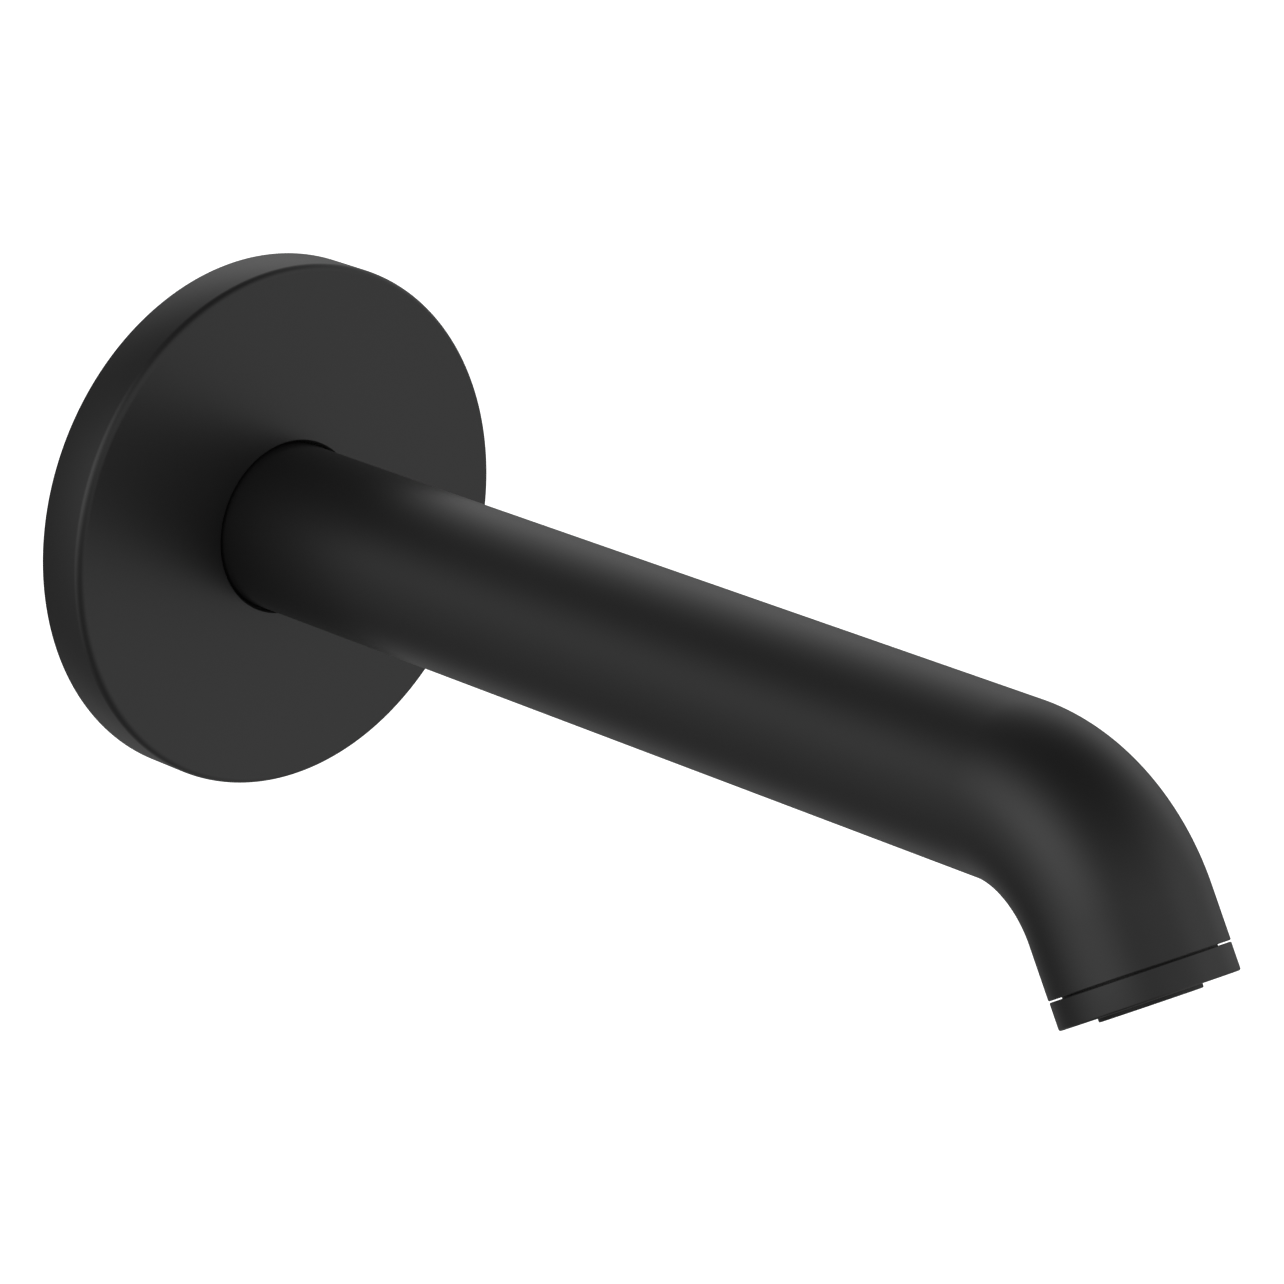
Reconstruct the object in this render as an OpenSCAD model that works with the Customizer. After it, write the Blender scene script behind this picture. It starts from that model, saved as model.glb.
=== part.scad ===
// Wall spout with a round flange, a down-turned nose and a screw-in aerator.
// The wall is the plane y = 0, the spout points along -Y, and +Z is up.
// The origin is the centre of the flange's back face.

/* [Tube] */
// Outside diameter of the tube
tube_d = 28; // [23:0.1:34]
// Wall of the tube
tube_wall = 1.2; // [0.8:0.1:1.6]
// Straight length from the wall to the bend
reach = 175; // [90:1:260]
// Centreline radius of the bend
bend_r = 26.25; // [20:0.25:80]
// Angle that the nose turns down by
bend_angle = 60; // [30:1:90]
// Straight length of the nose before its bush begins
nose_spare = 0.2; // [0:0.1:40]

/* [Flange] */
// Outside diameter of the flange
flange_d = 88; // [70:1:130]
// Depth of the flange, from the wall to its front face
flange_depth = 9.5; // [7.8:0.1:20]
// Wall of the flange's rim
flange_rim = 2; // [1.2:0.1:4]
// Thickness of the flange's front plate
flange_plate = 2.2; // [1.4:0.1:3]
// Radius on the flange's front edge
flange_edge = 1.3; // [0.3:0.1:1.8]
// Gap between the tube and the hole in the flange
flange_gap = 0.4; // [0.2:0.05:0.8]
// Width of the foam ring behind the flange
gasket_width = 4.9; // [3:0.1:8]

/* [Wall connection] */
// Major diameter of the nipple's pipe thread, which is a half-inch one
pipe_thread_d = 20.955; // [18:0.001:25.2]
// Length of the pipe thread behind the wall
pipe_thread_len = 14.5; // [8:0.5:25]
// Wall between the spout tube's bore and the nipple
socket_wall = 3.7; // [2.5:0.1:4.5]
// Length of the nipple in front of the set screw
spigot_len = 21; // [20:0.5:40]
// Least wall left in the nipple
nipple_wall = 1.6; // [1:0.1:2.2]
// Distance from the flange's face to the set screw
screw_offset = 7.5; // [4:0.5:20]
// Diameter of the set screw
screw_d = 5; // [4:0.5:6]
// Thickness of the washer behind the nipple's shoulder
nipple_washer_t = 2; // [1:0.1:2.4]

/* [Outlet] */
// Height of the visible collar
collar_height = 4.6; // [3.8:0.1:12]
// Length of the collar's thread
collar_thread_len = 3.6; // [2.4:0.1:8]
// Wall of the bush outside its thread
bush_wall = 0.75; // [0.6:0.05:1.5]
// Wall of the collar inside its thread
collar_wall = 1.35; // [1:0.05:2]
// Thickness of the collar's lip under the insert
lip_t = 1.8; // [1:0.1:2.4]
// Width of the collar's lip
lip_width = 1.95; // [1.2:0.05:2.4]
// Distance that the insert stands proud of the collar
insert_proud = 0.65; // [0:0.05:2]
// Thickness of the washer above the insert
aerator_washer_t = 1.6; // [1:0.1:2.5]
// Size of one cell of the outlet grid, across its flats
cell_af = 1.6; // [1:0.1:2.5]
// Wall between two cells of the outlet grid
cell_wall = 0.3; // [0.2:0.05:0.8]

/* [Clearances] */
// Radial gap filled by brazing
braze_gap = 0.05; // [0.02:0.01:0.15]
// Radial gap between the nipple and its socket
slide_gap = 0.05; // [0.02:0.01:0.15]
// Radial gap between a male thread and its bore
thread_gap = 0.05; // [0.02:0.01:0.15]
// Gap between a seal and the metal that it is pressed on
seal_gap = 0.02; // [0.01:0.01:0.05]
// Gap at the seam between the tube and the collar
seam_gap = 0.2; // [0.1:0.05:0.5]
// Gap round the plastic pieces of the insert
insert_gap = 0.1; // [0.05:0.05:0.2]

/* [Hidden] */
$fn = 128;
past = 1;

// Tube
tube_r = tube_d / 2;
bore_r = tube_r - tube_wall;
end_chamfer = 0.15;
nose_step = 0.002;
nose_lap = 0.05;
nose_counterbore = 0.03;

// Flange, as distances from the wall and radii about the tube's axis
flange_r = flange_d / 2;
hole_r = tube_r + flange_gap;
hole_chamfer = 0.3;
flange_lip = 1.3;
flange_groove_w = 2.4;
flange_groove_d = 1.6;
hub_wall = 1.6;
hub_cover = 1.2;
edge_r = min(flange_edge, flange_rim, flange_plate);
flange_groove_r = tube_r + flange_groove_d;
flange_groove_z = flange_depth - flange_lip - flange_groove_w;
hub_back = flange_groove_z - hub_cover;
hub_r = flange_groove_r + hub_wall;
hollow_r = flange_r - flange_rim;
plate_back = flange_depth - flange_plate;
flange_ring_r = 1;

// Nipple, as distances from the wall
hub_gap = 0.2;
tube_gap = 0.5;
shoulder_front = hub_back - hub_gap;
tube_end = shoulder_front + tube_gap;
shoulder_over = 2.9;
pipe_thread_r = pipe_thread_d / 2;
pipe_relief_d = 1.28;
pipe_relief_r = pipe_thread_r - pipe_relief_d;
pipe_lead = 1;
shoulder_r = pipe_thread_r + shoulder_over;
shoulder_edge = 0.4;
socket_bore_r = bore_r - braze_gap - socket_wall;
spigot_r = socket_bore_r - slide_gap;
screw_z = flange_depth + screw_offset;
spigot_end = screw_z + spigot_len;
spigot_lead = 1;
seal_groove_d = 1.5;
seal_groove_w = 2.6;
seal_ring_r = 1;
front_groove_back = 9;
rear_groove_back = 13.5;
front_groove_z = spigot_end - front_groove_back;
rear_groove_z = spigot_end - rear_groove_back;
seal_groove_r = spigot_r - seal_groove_d;
waterway_r = min(seal_groove_r, pipe_relief_r) - nipple_wall;
key_over = 0.2;
key_af = 2 * waterway_r + key_over;
key_depth = 7;
notch_d = 1;
socket_stop_t = 2;
socket_stop_w = 1;
socket_stop_gap = 0.6;
socket_stop_z = spigot_end + socket_stop_gap;
socket_lead = 1.2;

// Set screw, as distances from the tube's axis
screw_r = screw_d / 2 - thread_gap;
screw_sink = 0.5;
screw_key_af = screw_d / 2;
screw_key_depth = 2.4;
screw_tip_r = 0.2;
screw_tip_gap = 0.3;
screw_tip = spigot_r - notch_d + screw_tip_gap;
screw_point = screw_tip + screw_r - screw_tip_r;

// Outlet, as distances along the nose from the seam, positive outwards
bush_ledge = 2;
rim_t = 1.2;
seat = -(collar_thread_len + rim_t + aerator_washer_t);
bush_back = seat - bush_ledge;
nose = nose_spare - bush_back;
thread_r = bore_r - braze_gap - bush_wall;
seat_w = 1.8;
seat_bore_r = thread_r - seat_w;
washer_over = 0.3;
collar_under = 0.05;
collar_r = tube_r - collar_under;
collar_edge = 0.35;
collar_bore_r = thread_r - thread_gap - collar_wall;
lip_top = collar_height - lip_t;
lip_r = collar_bore_r - lip_width;
lip_chamfer = 0.3;

// Insert
rim_top = seat + aerator_washer_t;
rim_under = 0.3;
rim_r = thread_r - rim_under;
rib_r = collar_bore_r - insert_gap;
rib_count = 12;
rib_w = 1.2;
rib_h = 0.8;
rib_root = 0.5;
body_r = rib_r - rib_h;
body_gap = 0.5;
body_bottom = lip_top - body_gap;
air_gap = 0.6;
face_r = lip_r - air_gap;
face_z = collar_height + insert_proud;
face_edge = 0.2;
grid_rim = 0.95;
grid_r = face_r - grid_rim;
grid_t = 1.8;
grid_recess = 0.25;
grid_back = face_z - grid_recess - grid_t;
floor_t = 0.9;
chamber_floor = body_bottom - floor_t;
recess_wall = 0.9;
recess_r = body_r - recess_wall;
ledge_w = 0.8;
chamber_r = recess_r - ledge_w;
recess_d = 2.8;
recess_floor = rim_top + recess_d;
window_h = 1.4;
window_w = 1.4;
window_gap = 0.4;
plate_t = 2.2;
plate_r = recess_r - insert_gap;
plate_top = recess_floor - plate_t;
channel_share = 0.58;
channel_r = channel_share * plate_r;
channel_half = 0.8;
channel_d = 1.2;
regulator_r = 0.7;
jet_r = 0.45;
outer_jets = 16;
inner_jets = 8;
strainer_wall = 0.8;
strainer_h = 4.8;
strainer_slots = 16;
slot_w = 0.7;
hole_turns = 4;
hole_turn_count = 6;
hole_turn_pitch = plate_r / 5.2;
strainer_hole_r = 0.45;
screen_t = 0.4;
screen_gap = 0.1;
screen_r = chamber_r - insert_gap;

// Centres of the grid's cells that lie whole inside its edge
cell_pitch = cell_af + cell_wall;
cell_rows = ceil(grid_r / cell_pitch);
cell_centres = [
    for (row = [-cell_rows : cell_rows])
        for (column = [-2 * cell_rows : 2 * cell_rows])
            let (x = cell_pitch * (column + row / 2))
                let (y = cell_pitch * row * sin(60))
                    if (norm([x, y]) + cell_af / 2 / cos(30) < grid_r) [x, y]
];

// Turns a shape built along +Z so that it stands out from the wall along -Y
module from_wall() {
    rotate([90, 0, 0]) children();
}

// Turns a shape built along +Z so that it hangs from the tube's axis at a distance z from the wall
module under_tube(z) {
    translate([0, -z, 0]) rotate([180, 0, 0]) children();
}

// Puts a shape at the seam, with +Z pointing out of the nose
module at_outlet() {
    translate([0, -reach, -bend_r])
        rotate([bend_angle, 0, 0])
            translate([0, 0, bend_r])
                rotate([90, 0, 0])
                    translate([0, 0, nose]) children();
}

// Round bar along the straight tube and the bend, from a distance z0 from the wall
module bent_bar(r, z0) {
    from_wall() translate([0, 0, z0]) cylinder(r = r, h = reach - z0);
    translate([0, -reach, -bend_r])
        rotate([180, -90, 0])
            rotate_extrude(angle = bend_angle)
                translate([bend_r, 0]) circle(r = r);
}

// Ring between two heights
module ring(r_in, r_out, z0, z1) {
    difference() {
        translate([0, 0, z0]) cylinder(r = r_out, h = z1 - z0);
        translate([0, 0, z0 - past]) cylinder(r = r_in, h = z1 - z0 + 2 * past);
    }
}

// Round seal whose section is pressed flat at its inside and outside
module pressed_ring(r_in, r_out, section_r) {
    mid = (r_in + r_out) / 2;
    rotate_extrude()
        intersection() {
            translate([mid, 0]) circle(r = section_r);
            translate([r_in + seal_gap, -section_r]) square([r_out - r_in - 2 * seal_gap, 2 * section_r]);
        }
}

// Cuts the edge off a bar of radius r whose end is at height z, where the bar lies below z
module end_chamfer_cut(r, c, z) {
    difference() {
        translate([0, 0, z - c]) cylinder(r = r + past, h = c + past);
        translate([0, 0, z - c - past]) cylinder(r = r, h = past);
        translate([0, 0, z - c]) cylinder(r1 = r, r2 = r - c, h = c);
    }
}

// Straight end of the tube, a hair wider than the bend that it laps over
module nose_tube() {
    at_outlet()
        difference() {
            ring(bore_r + nose_counterbore, tube_r + nose_step, -nose - nose_lap, 0);
            end_chamfer_cut(tube_r + nose_step, end_chamfer, 0);
        }
}

module spout_tube() {
    color("dimgray")
        union() {
            difference() {
                bent_bar(tube_r, tube_end);
                bent_bar(bore_r, tube_end - past);
                under_tube(screw_z) cylinder(d = screw_d, h = tube_r + past);
            }
            nose_tube();
        }
}

module inlet_socket() {
    color("darkgoldenrod")
        difference() {
            from_wall()
                translate([0, 0, tube_end])
                    cylinder(r = bore_r - braze_gap, h = socket_stop_z + socket_stop_t - tube_end);
            from_wall()
                translate([0, 0, tube_end - past])
                    cylinder(r = socket_bore_r, h = socket_stop_z - tube_end + past);
            from_wall()
                translate([0, 0, tube_end])
                    cylinder(r1 = socket_bore_r + socket_lead, r2 = socket_bore_r, h = 2 * socket_lead);
            from_wall()
                translate([0, 0, tube_end])
                    cylinder(r = socket_bore_r - socket_stop_w, h = socket_stop_z + socket_stop_t);
            under_tube(screw_z) cylinder(d = screw_d, h = tube_r + past);
        }
}

module outlet_bush() {
    color("darkgoldenrod")
        at_outlet()
            difference() {
                translate([0, 0, bush_back]) cylinder(r = bore_r - braze_gap, h = -bush_back);
                translate([0, 0, bush_back - past]) cylinder(r = seat_bore_r, h = bush_ledge + 2 * past);
                translate([0, 0, seat]) cylinder(r = thread_r, h = past - seat);
            }
}

// Section of the flange, with radii along X and distances from the wall along Y
module flange_section() {
    difference() {
        square([flange_r, flange_depth]);
        translate([flange_r - edge_r, flange_depth - edge_r])
            difference() {
                square([edge_r + past, edge_r + past]);
                circle(r = edge_r);
            }
        translate([hub_r, -past]) square([hollow_r - hub_r, plate_back + past]);
        translate([-past, -past]) square([hub_r + 2 * past, hub_back + past]);
        translate([-past, -past]) square([hole_r + past, flange_depth + 2 * past]);
        translate([0, flange_groove_z]) square([flange_groove_r, flange_groove_w]);
        translate([hole_r, flange_depth])
            polygon([
                [-past, past],
                [hole_chamfer + past, past],
                [0, -hole_chamfer],
                [-past, -hole_chamfer]
            ]);
    }
}

module wall_flange() {
    color("dimgray")
        from_wall()
            rotate_extrude() flange_section();
}

module flange_o_ring() {
    color("black")
        from_wall()
            translate([0, 0, flange_groove_z + flange_groove_w / 2])
                pressed_ring(tube_r, flange_groove_r, flange_ring_r);
}

module wall_gasket() {
    color("black")
        from_wall()
            ring(hollow_r - insert_gap - gasket_width, hollow_r - insert_gap, 0, plate_back - seal_gap);
}

module seal_groove(z) {
    ring(seal_groove_r, spigot_r + past, z - seal_groove_w / 2, z + seal_groove_w / 2);
}

// Section of the notch that the set screw's point sits in
module notch_cut(z) {
    rotate_extrude()
        translate([spigot_r, z])
            polygon([[-notch_d, 0], [past, -notch_d - past], [past, notch_d + past]]);
}

module nipple_blank() {
    translate([0, 0, -pipe_thread_len]) cylinder(r = pipe_thread_r, h = pipe_thread_len);
    translate([0, 0, -pipe_thread_len - pipe_lead])
        cylinder(r1 = pipe_thread_r - pipe_lead, r2 = pipe_thread_r, h = pipe_lead);
    cylinder(r = pipe_relief_r, h = shoulder_front);
    translate([0, 0, nipple_washer_t])
        cylinder(r = shoulder_r, h = shoulder_front - nipple_washer_t - shoulder_edge);
    translate([0, 0, shoulder_front - shoulder_edge])
        cylinder(r1 = shoulder_r, r2 = shoulder_r - shoulder_edge, h = shoulder_edge);
    translate([0, 0, shoulder_front - past]) cylinder(r = spigot_r, h = spigot_end - shoulder_front + past);
}

module wall_nipple() {
    color("goldenrod")
        from_wall()
            difference() {
                nipple_blank();
                seal_groove(front_groove_z);
                seal_groove(rear_groove_z);
                notch_cut(screw_z);
                end_chamfer_cut(spigot_r, spigot_lead, spigot_end);
                translate([0, 0, -pipe_thread_len - pipe_lead - past])
                    cylinder(r = waterway_r, h = spigot_end + pipe_thread_len + pipe_lead + 2 * past);
                translate([0, 0, spigot_end - key_depth])
                    cylinder(d = key_af / cos(30), h = key_depth + past, $fn = 6);
            }
}

module nipple_washer() {
    color("black")
        from_wall()
            ring(pipe_relief_r + insert_gap, shoulder_r, 0, nipple_washer_t);
}

module nipple_o_ring(z) {
    color("black")
        from_wall()
            translate([0, 0, z]) pressed_ring(seal_groove_r, socket_bore_r, seal_ring_r);
}

module nipple_o_ring_front() {
    nipple_o_ring(front_groove_z);
}

module nipple_o_ring_rear() {
    nipple_o_ring(rear_groove_z);
}

module set_screw() {
    color("gray")
        under_tube(screw_z)
            difference() {
                union() {
                    translate([0, 0, screw_point])
                        cylinder(r = screw_r, h = tube_r - screw_sink - screw_point);
                    translate([0, 0, screw_tip])
                        cylinder(
                            r1 = screw_tip_r,
                            r2 = screw_tip_r + screw_point - screw_tip,
                            h = screw_point - screw_tip
                        );
                }
                translate([0, 0, tube_r - screw_sink - screw_key_depth])
                    cylinder(d = screw_key_af / cos(30), h = screw_key_depth + past, $fn = 6);
            }
}

// Section of the collar, with radii along X and distances from the seam along Y
module collar_section() {
    difference() {
        union() {
            translate([collar_bore_r, -collar_thread_len])
                square([thread_r - thread_gap - collar_bore_r, collar_thread_len + seam_gap + past]);
            translate([lip_r, seam_gap]) square([collar_r - lip_r, collar_height - seam_gap]);
        }
        translate([0, -past]) square([collar_bore_r, lip_top + past]);
        translate([collar_r - collar_edge, collar_height - collar_edge])
            difference() {
                square([collar_edge + past, collar_edge + past]);
                circle(r = collar_edge);
            }
        translate([collar_r, seam_gap])
            polygon([
                [-end_chamfer, 0],
                [-end_chamfer, -past],
                [past, -past],
                [past, end_chamfer],
                [0, end_chamfer]
            ]);
        translate([lip_r, collar_height])
            polygon([
                [-past, past],
                [lip_chamfer, past],
                [lip_chamfer, 0],
                [0, -lip_chamfer],
                [-past, -lip_chamfer]
            ]);
    }
}

module aerator_collar() {
    color("dimgray")
        at_outlet()
            rotate_extrude() collar_section();
}

module aerator_washer() {
    color("black")
        at_outlet()
            ring(seat_bore_r - washer_over, thread_r - 2 * insert_gap, seat, rim_top);
}

// Outside of the insert, with radii along X and distances from the seam along Y
module housing_section() {
    difference() {
        union() {
            translate([0, rim_top]) square([rim_r, rim_t]);
            translate([0, rim_top]) square([body_r, body_bottom - rim_top]);
            translate([0, rim_top]) square([face_r, face_z - rim_top]);
        }
        translate([face_r - face_edge, face_z - face_edge])
            difference() {
                square([face_edge + past, face_edge + past]);
                circle(r = face_edge);
            }
        translate([-past, rim_top - past]) square([recess_r + past, recess_d + past]);
        translate([-past, recess_floor - past])
            square([chamber_r + past, chamber_floor - recess_floor + past]);
        translate([-past, face_z - grid_recess]) square([grid_r + past, grid_recess + past]);
        translate([-past, chamber_floor - past]) square([grid_r + past, grid_back - chamber_floor + past]);
    }
}

// Ribs that centre the insert in the collar and leave room for air between them
module housing_ribs() {
    intersection() {
        ring(body_r - rib_root, rib_r, rim_top + rim_t, lip_top - insert_gap);
        for (i = [0 : rib_count - 1])
            rotate([0, 0, i * 360 / rib_count])
                translate([body_r - past, -rib_w / 2, rim_top + rim_t])
                    cube([rib_h + 2 * past, rib_w, lip_top - rim_top]);
    }
}

module grid_cells() {
    for (centre = cell_centres)
        translate([centre[0], centre[1], grid_back - past])
            rotate([0, 0, 30]) cylinder(d = cell_af / cos(30), h = grid_t + 2 * past, $fn = 6);
}

module air_windows() {
    for (i = [0 : rib_count - 1])
        rotate([0, 0, (i + 0.5) * 360 / rib_count])
            translate([chamber_r - past, -window_w / 2, recess_floor + window_gap])
                cube([body_r - chamber_r + 2 * past, window_w, window_h]);
}

module aerator_housing() {
    color("dimgray")
        at_outlet()
            difference() {
                union() {
                    rotate_extrude() housing_section();
                    housing_ribs();
                }
                grid_cells();
                air_windows();
            }
}

module round_holes(count, at_r, r, z0, z1) {
    for (i = [0 : count - 1])
        rotate([0, 0, i * 360 / count])
            translate([at_r, 0, z0]) cylinder(r = r, h = z1 - z0);
}

module inlet_strainer() {
    top = plate_top - strainer_h;
    color("gainsboro")
        at_outlet()
            difference() {
                union() {
                    translate([0, 0, top + strainer_wall])
                        cylinder(r = plate_r, h = strainer_h - strainer_wall);
                    translate([0, 0, top])
                        cylinder(r1 = plate_r - strainer_wall, r2 = plate_r, h = strainer_wall);
                }
                translate([0, 0, top + strainer_wall])
                    cylinder(r = plate_r - strainer_wall, h = strainer_h);
                for (i = [0 : strainer_slots - 1])
                    rotate([0, 0, i * 360 / strainer_slots])
                        translate([0, -slot_w / 2, top + 2 * strainer_wall])
                            cube([plate_r + past, slot_w, strainer_h - 3 * strainer_wall]);
                for (turn = [1 : hole_turns])
                    round_holes(
                        hole_turn_count * turn,
                        hole_turn_pitch * turn,
                        strainer_hole_r,
                        top - past,
                        top + strainer_wall + past
                    );
            }
}

module jet_plate() {
    color("gainsboro")
        at_outlet()
            difference() {
                translate([0, 0, plate_top]) cylinder(r = plate_r, h = plate_t);
                ring(
                    channel_r - channel_half,
                    channel_r + channel_half,
                    plate_top - past,
                    plate_top + channel_d
                );
                round_holes(outer_jets, channel_r, jet_r, plate_top + past, recess_floor + past);
                round_holes(inner_jets, channel_r / 2, jet_r, plate_top - past, recess_floor + past);
            }
}

module regulator_ring() {
    color("black")
        at_outlet()
            translate([0, 0, plate_top + channel_d - regulator_r - seal_gap])
                rotate_extrude() translate([channel_r, 0]) circle(r = regulator_r);
}

// Fine wire screen, as the plain disc that its mesh fills
module screen(z0) {
    color("silver")
        at_outlet()
            translate([0, 0, z0]) cylinder(r = screen_r, h = screen_t);
}

module upper_screen() {
    screen(chamber_floor - 2 * screen_t - 2 * screen_gap);
}

module lower_screen() {
    screen(chamber_floor - screen_t - seal_gap);
}

spout_tube();
inlet_socket();
outlet_bush();
wall_flange();
flange_o_ring();
wall_gasket();
wall_nipple();
nipple_washer();
nipple_o_ring_front();
nipple_o_ring_rear();
set_screw();
aerator_collar();
aerator_washer();
aerator_housing();
inlet_strainer();
jet_plate();
regulator_ring();
upper_screen();
lower_screen();
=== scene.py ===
import math

import bmesh
import bpy
from bpy.props import FloatProperty, FloatVectorProperty, IntProperty, PointerProperty
from mathutils import Matrix, Vector


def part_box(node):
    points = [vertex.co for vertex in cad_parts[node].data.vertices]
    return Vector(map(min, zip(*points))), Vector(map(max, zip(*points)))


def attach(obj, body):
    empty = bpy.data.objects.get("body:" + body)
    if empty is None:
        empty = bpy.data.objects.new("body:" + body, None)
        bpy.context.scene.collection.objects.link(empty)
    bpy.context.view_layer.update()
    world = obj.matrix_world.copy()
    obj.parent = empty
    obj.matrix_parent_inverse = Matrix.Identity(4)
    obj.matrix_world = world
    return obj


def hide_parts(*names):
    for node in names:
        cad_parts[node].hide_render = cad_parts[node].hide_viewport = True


bl_info = {
    "name": "Matt black wall spout",
    "version": (1, 0, 0),
    "blender": (4, 5, 0),
    "location": "3D View > Sidebar > Spout",
    "description": "Builds and finishes the pieces of a wall spout, its stage and its camera",
    "category": "Object",
}

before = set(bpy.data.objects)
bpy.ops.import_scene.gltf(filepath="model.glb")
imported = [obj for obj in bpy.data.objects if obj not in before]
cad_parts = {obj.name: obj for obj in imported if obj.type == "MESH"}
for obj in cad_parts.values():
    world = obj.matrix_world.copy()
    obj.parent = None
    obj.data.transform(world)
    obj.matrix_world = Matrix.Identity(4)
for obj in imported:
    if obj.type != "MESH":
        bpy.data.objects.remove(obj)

MM = 0.001
BODY = "root"
TURN = 2 * math.pi


# Sizes read from the frame


def node_radius(node):
    """Largest distance of a round node from the tube's axis, taken across the spout."""
    low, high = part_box(node)
    return (high.x - low.x) / 2


def node_depth(node):
    """How far a node stands out from the wall."""
    low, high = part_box(node)
    return -low.y


# Settings that a user would change


def length(name, description, default, top=0.5):
    return FloatProperty(
        name=name, description=description, default=default, min=0, max=top, precision=5, unit="LENGTH"
    )


def angle(name, description, default):
    return FloatProperty(name=name, description=description, default=math.radians(default), unit="ROTATION")


def share(name, description, default, top=1.0):
    return FloatProperty(name=name, description=description, default=default, min=0, max=top, precision=4)


def colour(name, description, default):
    return FloatVectorProperty(
        name=name, description=description, default=default, min=0, max=1, size=3, subtype="COLOR"
    )


class TubeSettings(bpy.types.PropertyGroup):
    radius: length("Radius", "Outside radius of the tube", node_radius("spout_tube"))
    wall: length("Wall", "Wall of the tube", 1.2 * MM)
    back: length("Back end", "Distance from the wall to the tube's end", -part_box("spout_tube")[1].y)
    reach: length("Reach", "Straight length from the wall to the bend", 175 * MM)
    bend_radius: length("Bend radius", "Centreline radius of the bend", 26.25 * MM)
    bend_angle: angle("Bend angle", "Angle that the nose turns down by", 60)
    nose: length("Nose", "Straight length after the bend", 8.6 * MM)
    chamfer: length("Chamfer", "Chamfer on the tube's ends", 0.15 * MM)
    screw_hole: length("Screw hole", "Radius of the set screw's hole", 2.5 * MM)
    screw_from_wall: length("Screw place", "Distance from the wall to the set screw", 17 * MM)
    sides: IntProperty(name="Sides", description="Facets round the tube", default=256, min=24, max=512)


class FlangeSettings(bpy.types.PropertyGroup):
    radius: length("Radius", "Outside radius of the flange", node_radius("wall_flange"))
    depth: length("Depth", "Depth from the wall to the front face", node_depth("wall_flange"))
    rim: length("Rim", "Wall of the rim", 2 * MM)
    plate: length("Plate", "Thickness of the front plate", 2.2 * MM)
    edge: length("Front edge", "Radius on the front edge", 1.3 * MM)
    back_edge: length("Back edge", "Radius on the edge against the wall", 0.2 * MM)
    gap: length("Gap", "Gap round the tube", 0.4 * MM)
    hole_chamfer: length("Hole chamfer", "Chamfer on the hole's edge", 0.3 * MM)
    groove: length("Groove depth", "Depth of the O-ring groove beyond the tube", 1.6 * MM)
    groove_width: length("Groove width", "Width of the O-ring groove", 2.4 * MM)
    groove_front: length("Groove cover", "Wall in front of the O-ring groove", 1.3 * MM)
    groove_back: length("Groove backing", "Wall behind the O-ring groove", 1.2 * MM)
    hub: length("Hub wall", "Wall of the hub round the groove", 1.6 * MM)
    sides: IntProperty(name="Sides", description="Facets round the flange", default=384, min=24, max=512)


class OutletSettings(bpy.types.PropertyGroup):
    height: length("Collar height", "Height of the visible collar", 4.6 * MM)
    radius: length("Collar radius", "Outside radius of the collar", 13.95 * MM)
    edge: length("Collar edge", "Radius on the collar's lower edge", 0.35 * MM)
    bore: length("Collar bore", "Radius inside the collar's thread", 10.6 * MM)
    thread: length("Thread radius", "Major radius of the collar's thread", 11.95 * MM)
    thread_length: length("Thread length", "Length of the collar's thread", 3.6 * MM)
    thread_pitch: length("Thread pitch", "Pitch of the collar's thread", 1 * MM)
    lip: length("Lip radius", "Radius inside the lip", 8.65 * MM)
    lip_thickness: length("Lip thickness", "Thickness of the lip", 1.8 * MM)
    seam: length("Seam", "Gap between the tube and the collar", 0.2 * MM)
    wire: length("Wire", "Diameter of the screens' wire", 0.19 * MM)
    mesh_pitch: length("Mesh pitch", "Distance between two wires of a screen", 0.62 * MM)


class NippleSettings(bpy.types.PropertyGroup):
    thread: length("Thread radius", "Major radius of the half-inch pipe thread", 10.4775 * MM)
    pitch: length("Pitch", "Pitch of the pipe thread", 1.814 * MM)
    thread_length: length("Thread length", "Length of the pipe thread", 14.5 * MM)
    lead: length("Lead", "Length of the thread's tapered start", 1 * MM)
    relief: length("Relief", "Radius of the neck behind the shoulder", 9.1975 * MM)
    shoulder: length("Shoulder", "Radius of the shoulder", node_radius("wall_nipple"))
    shoulder_back: length("Shoulder back", "Distance from the wall to the shoulder's back", 2 * MM)
    shoulder_front: length("Shoulder front", "Distance from the wall to the shoulder's front", 4.4 * MM)
    spigot: length("Spigot", "Radius of the spigot", 9 * MM)
    waterway: length("Waterway", "Radius of the waterway", 5.9 * MM)
    key: length("Key size", "Hexagon for the key, across its flats", 12 * MM)
    key_depth: length("Key depth", "Depth of the hexagon", 7 * MM)


class CoatingSettings(bpy.types.PropertyGroup):
    colour: colour("Colour", "Colour of the matt black coating", (0.02, 0.02, 0.02))
    roughness: share("Roughness", "Roughness of the coating", 0.34)
    grain: length("Grain", "Size of the coating's fine grain", 0.16 * MM)
    grain_height: length("Grain height", "Height of the coating's fine grain", 0.0016 * MM)
    flow: length("Flow", "Size of the coating's soft waves", 1.6 * MM)
    flow_height: length("Flow height", "Height of the coating's soft waves", 0.0012 * MM)


class MetalSettings(bpy.types.PropertyGroup):
    brass: colour("Brass", "Colour of the turned brass", (0.74, 0.53, 0.25))
    steel: colour("Steel", "Colour of the wire and the set screw", (0.6, 0.6, 0.59))
    tool_mark: length("Tool marks", "Distance between two tool marks on turned brass", 0.11 * MM)


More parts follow.
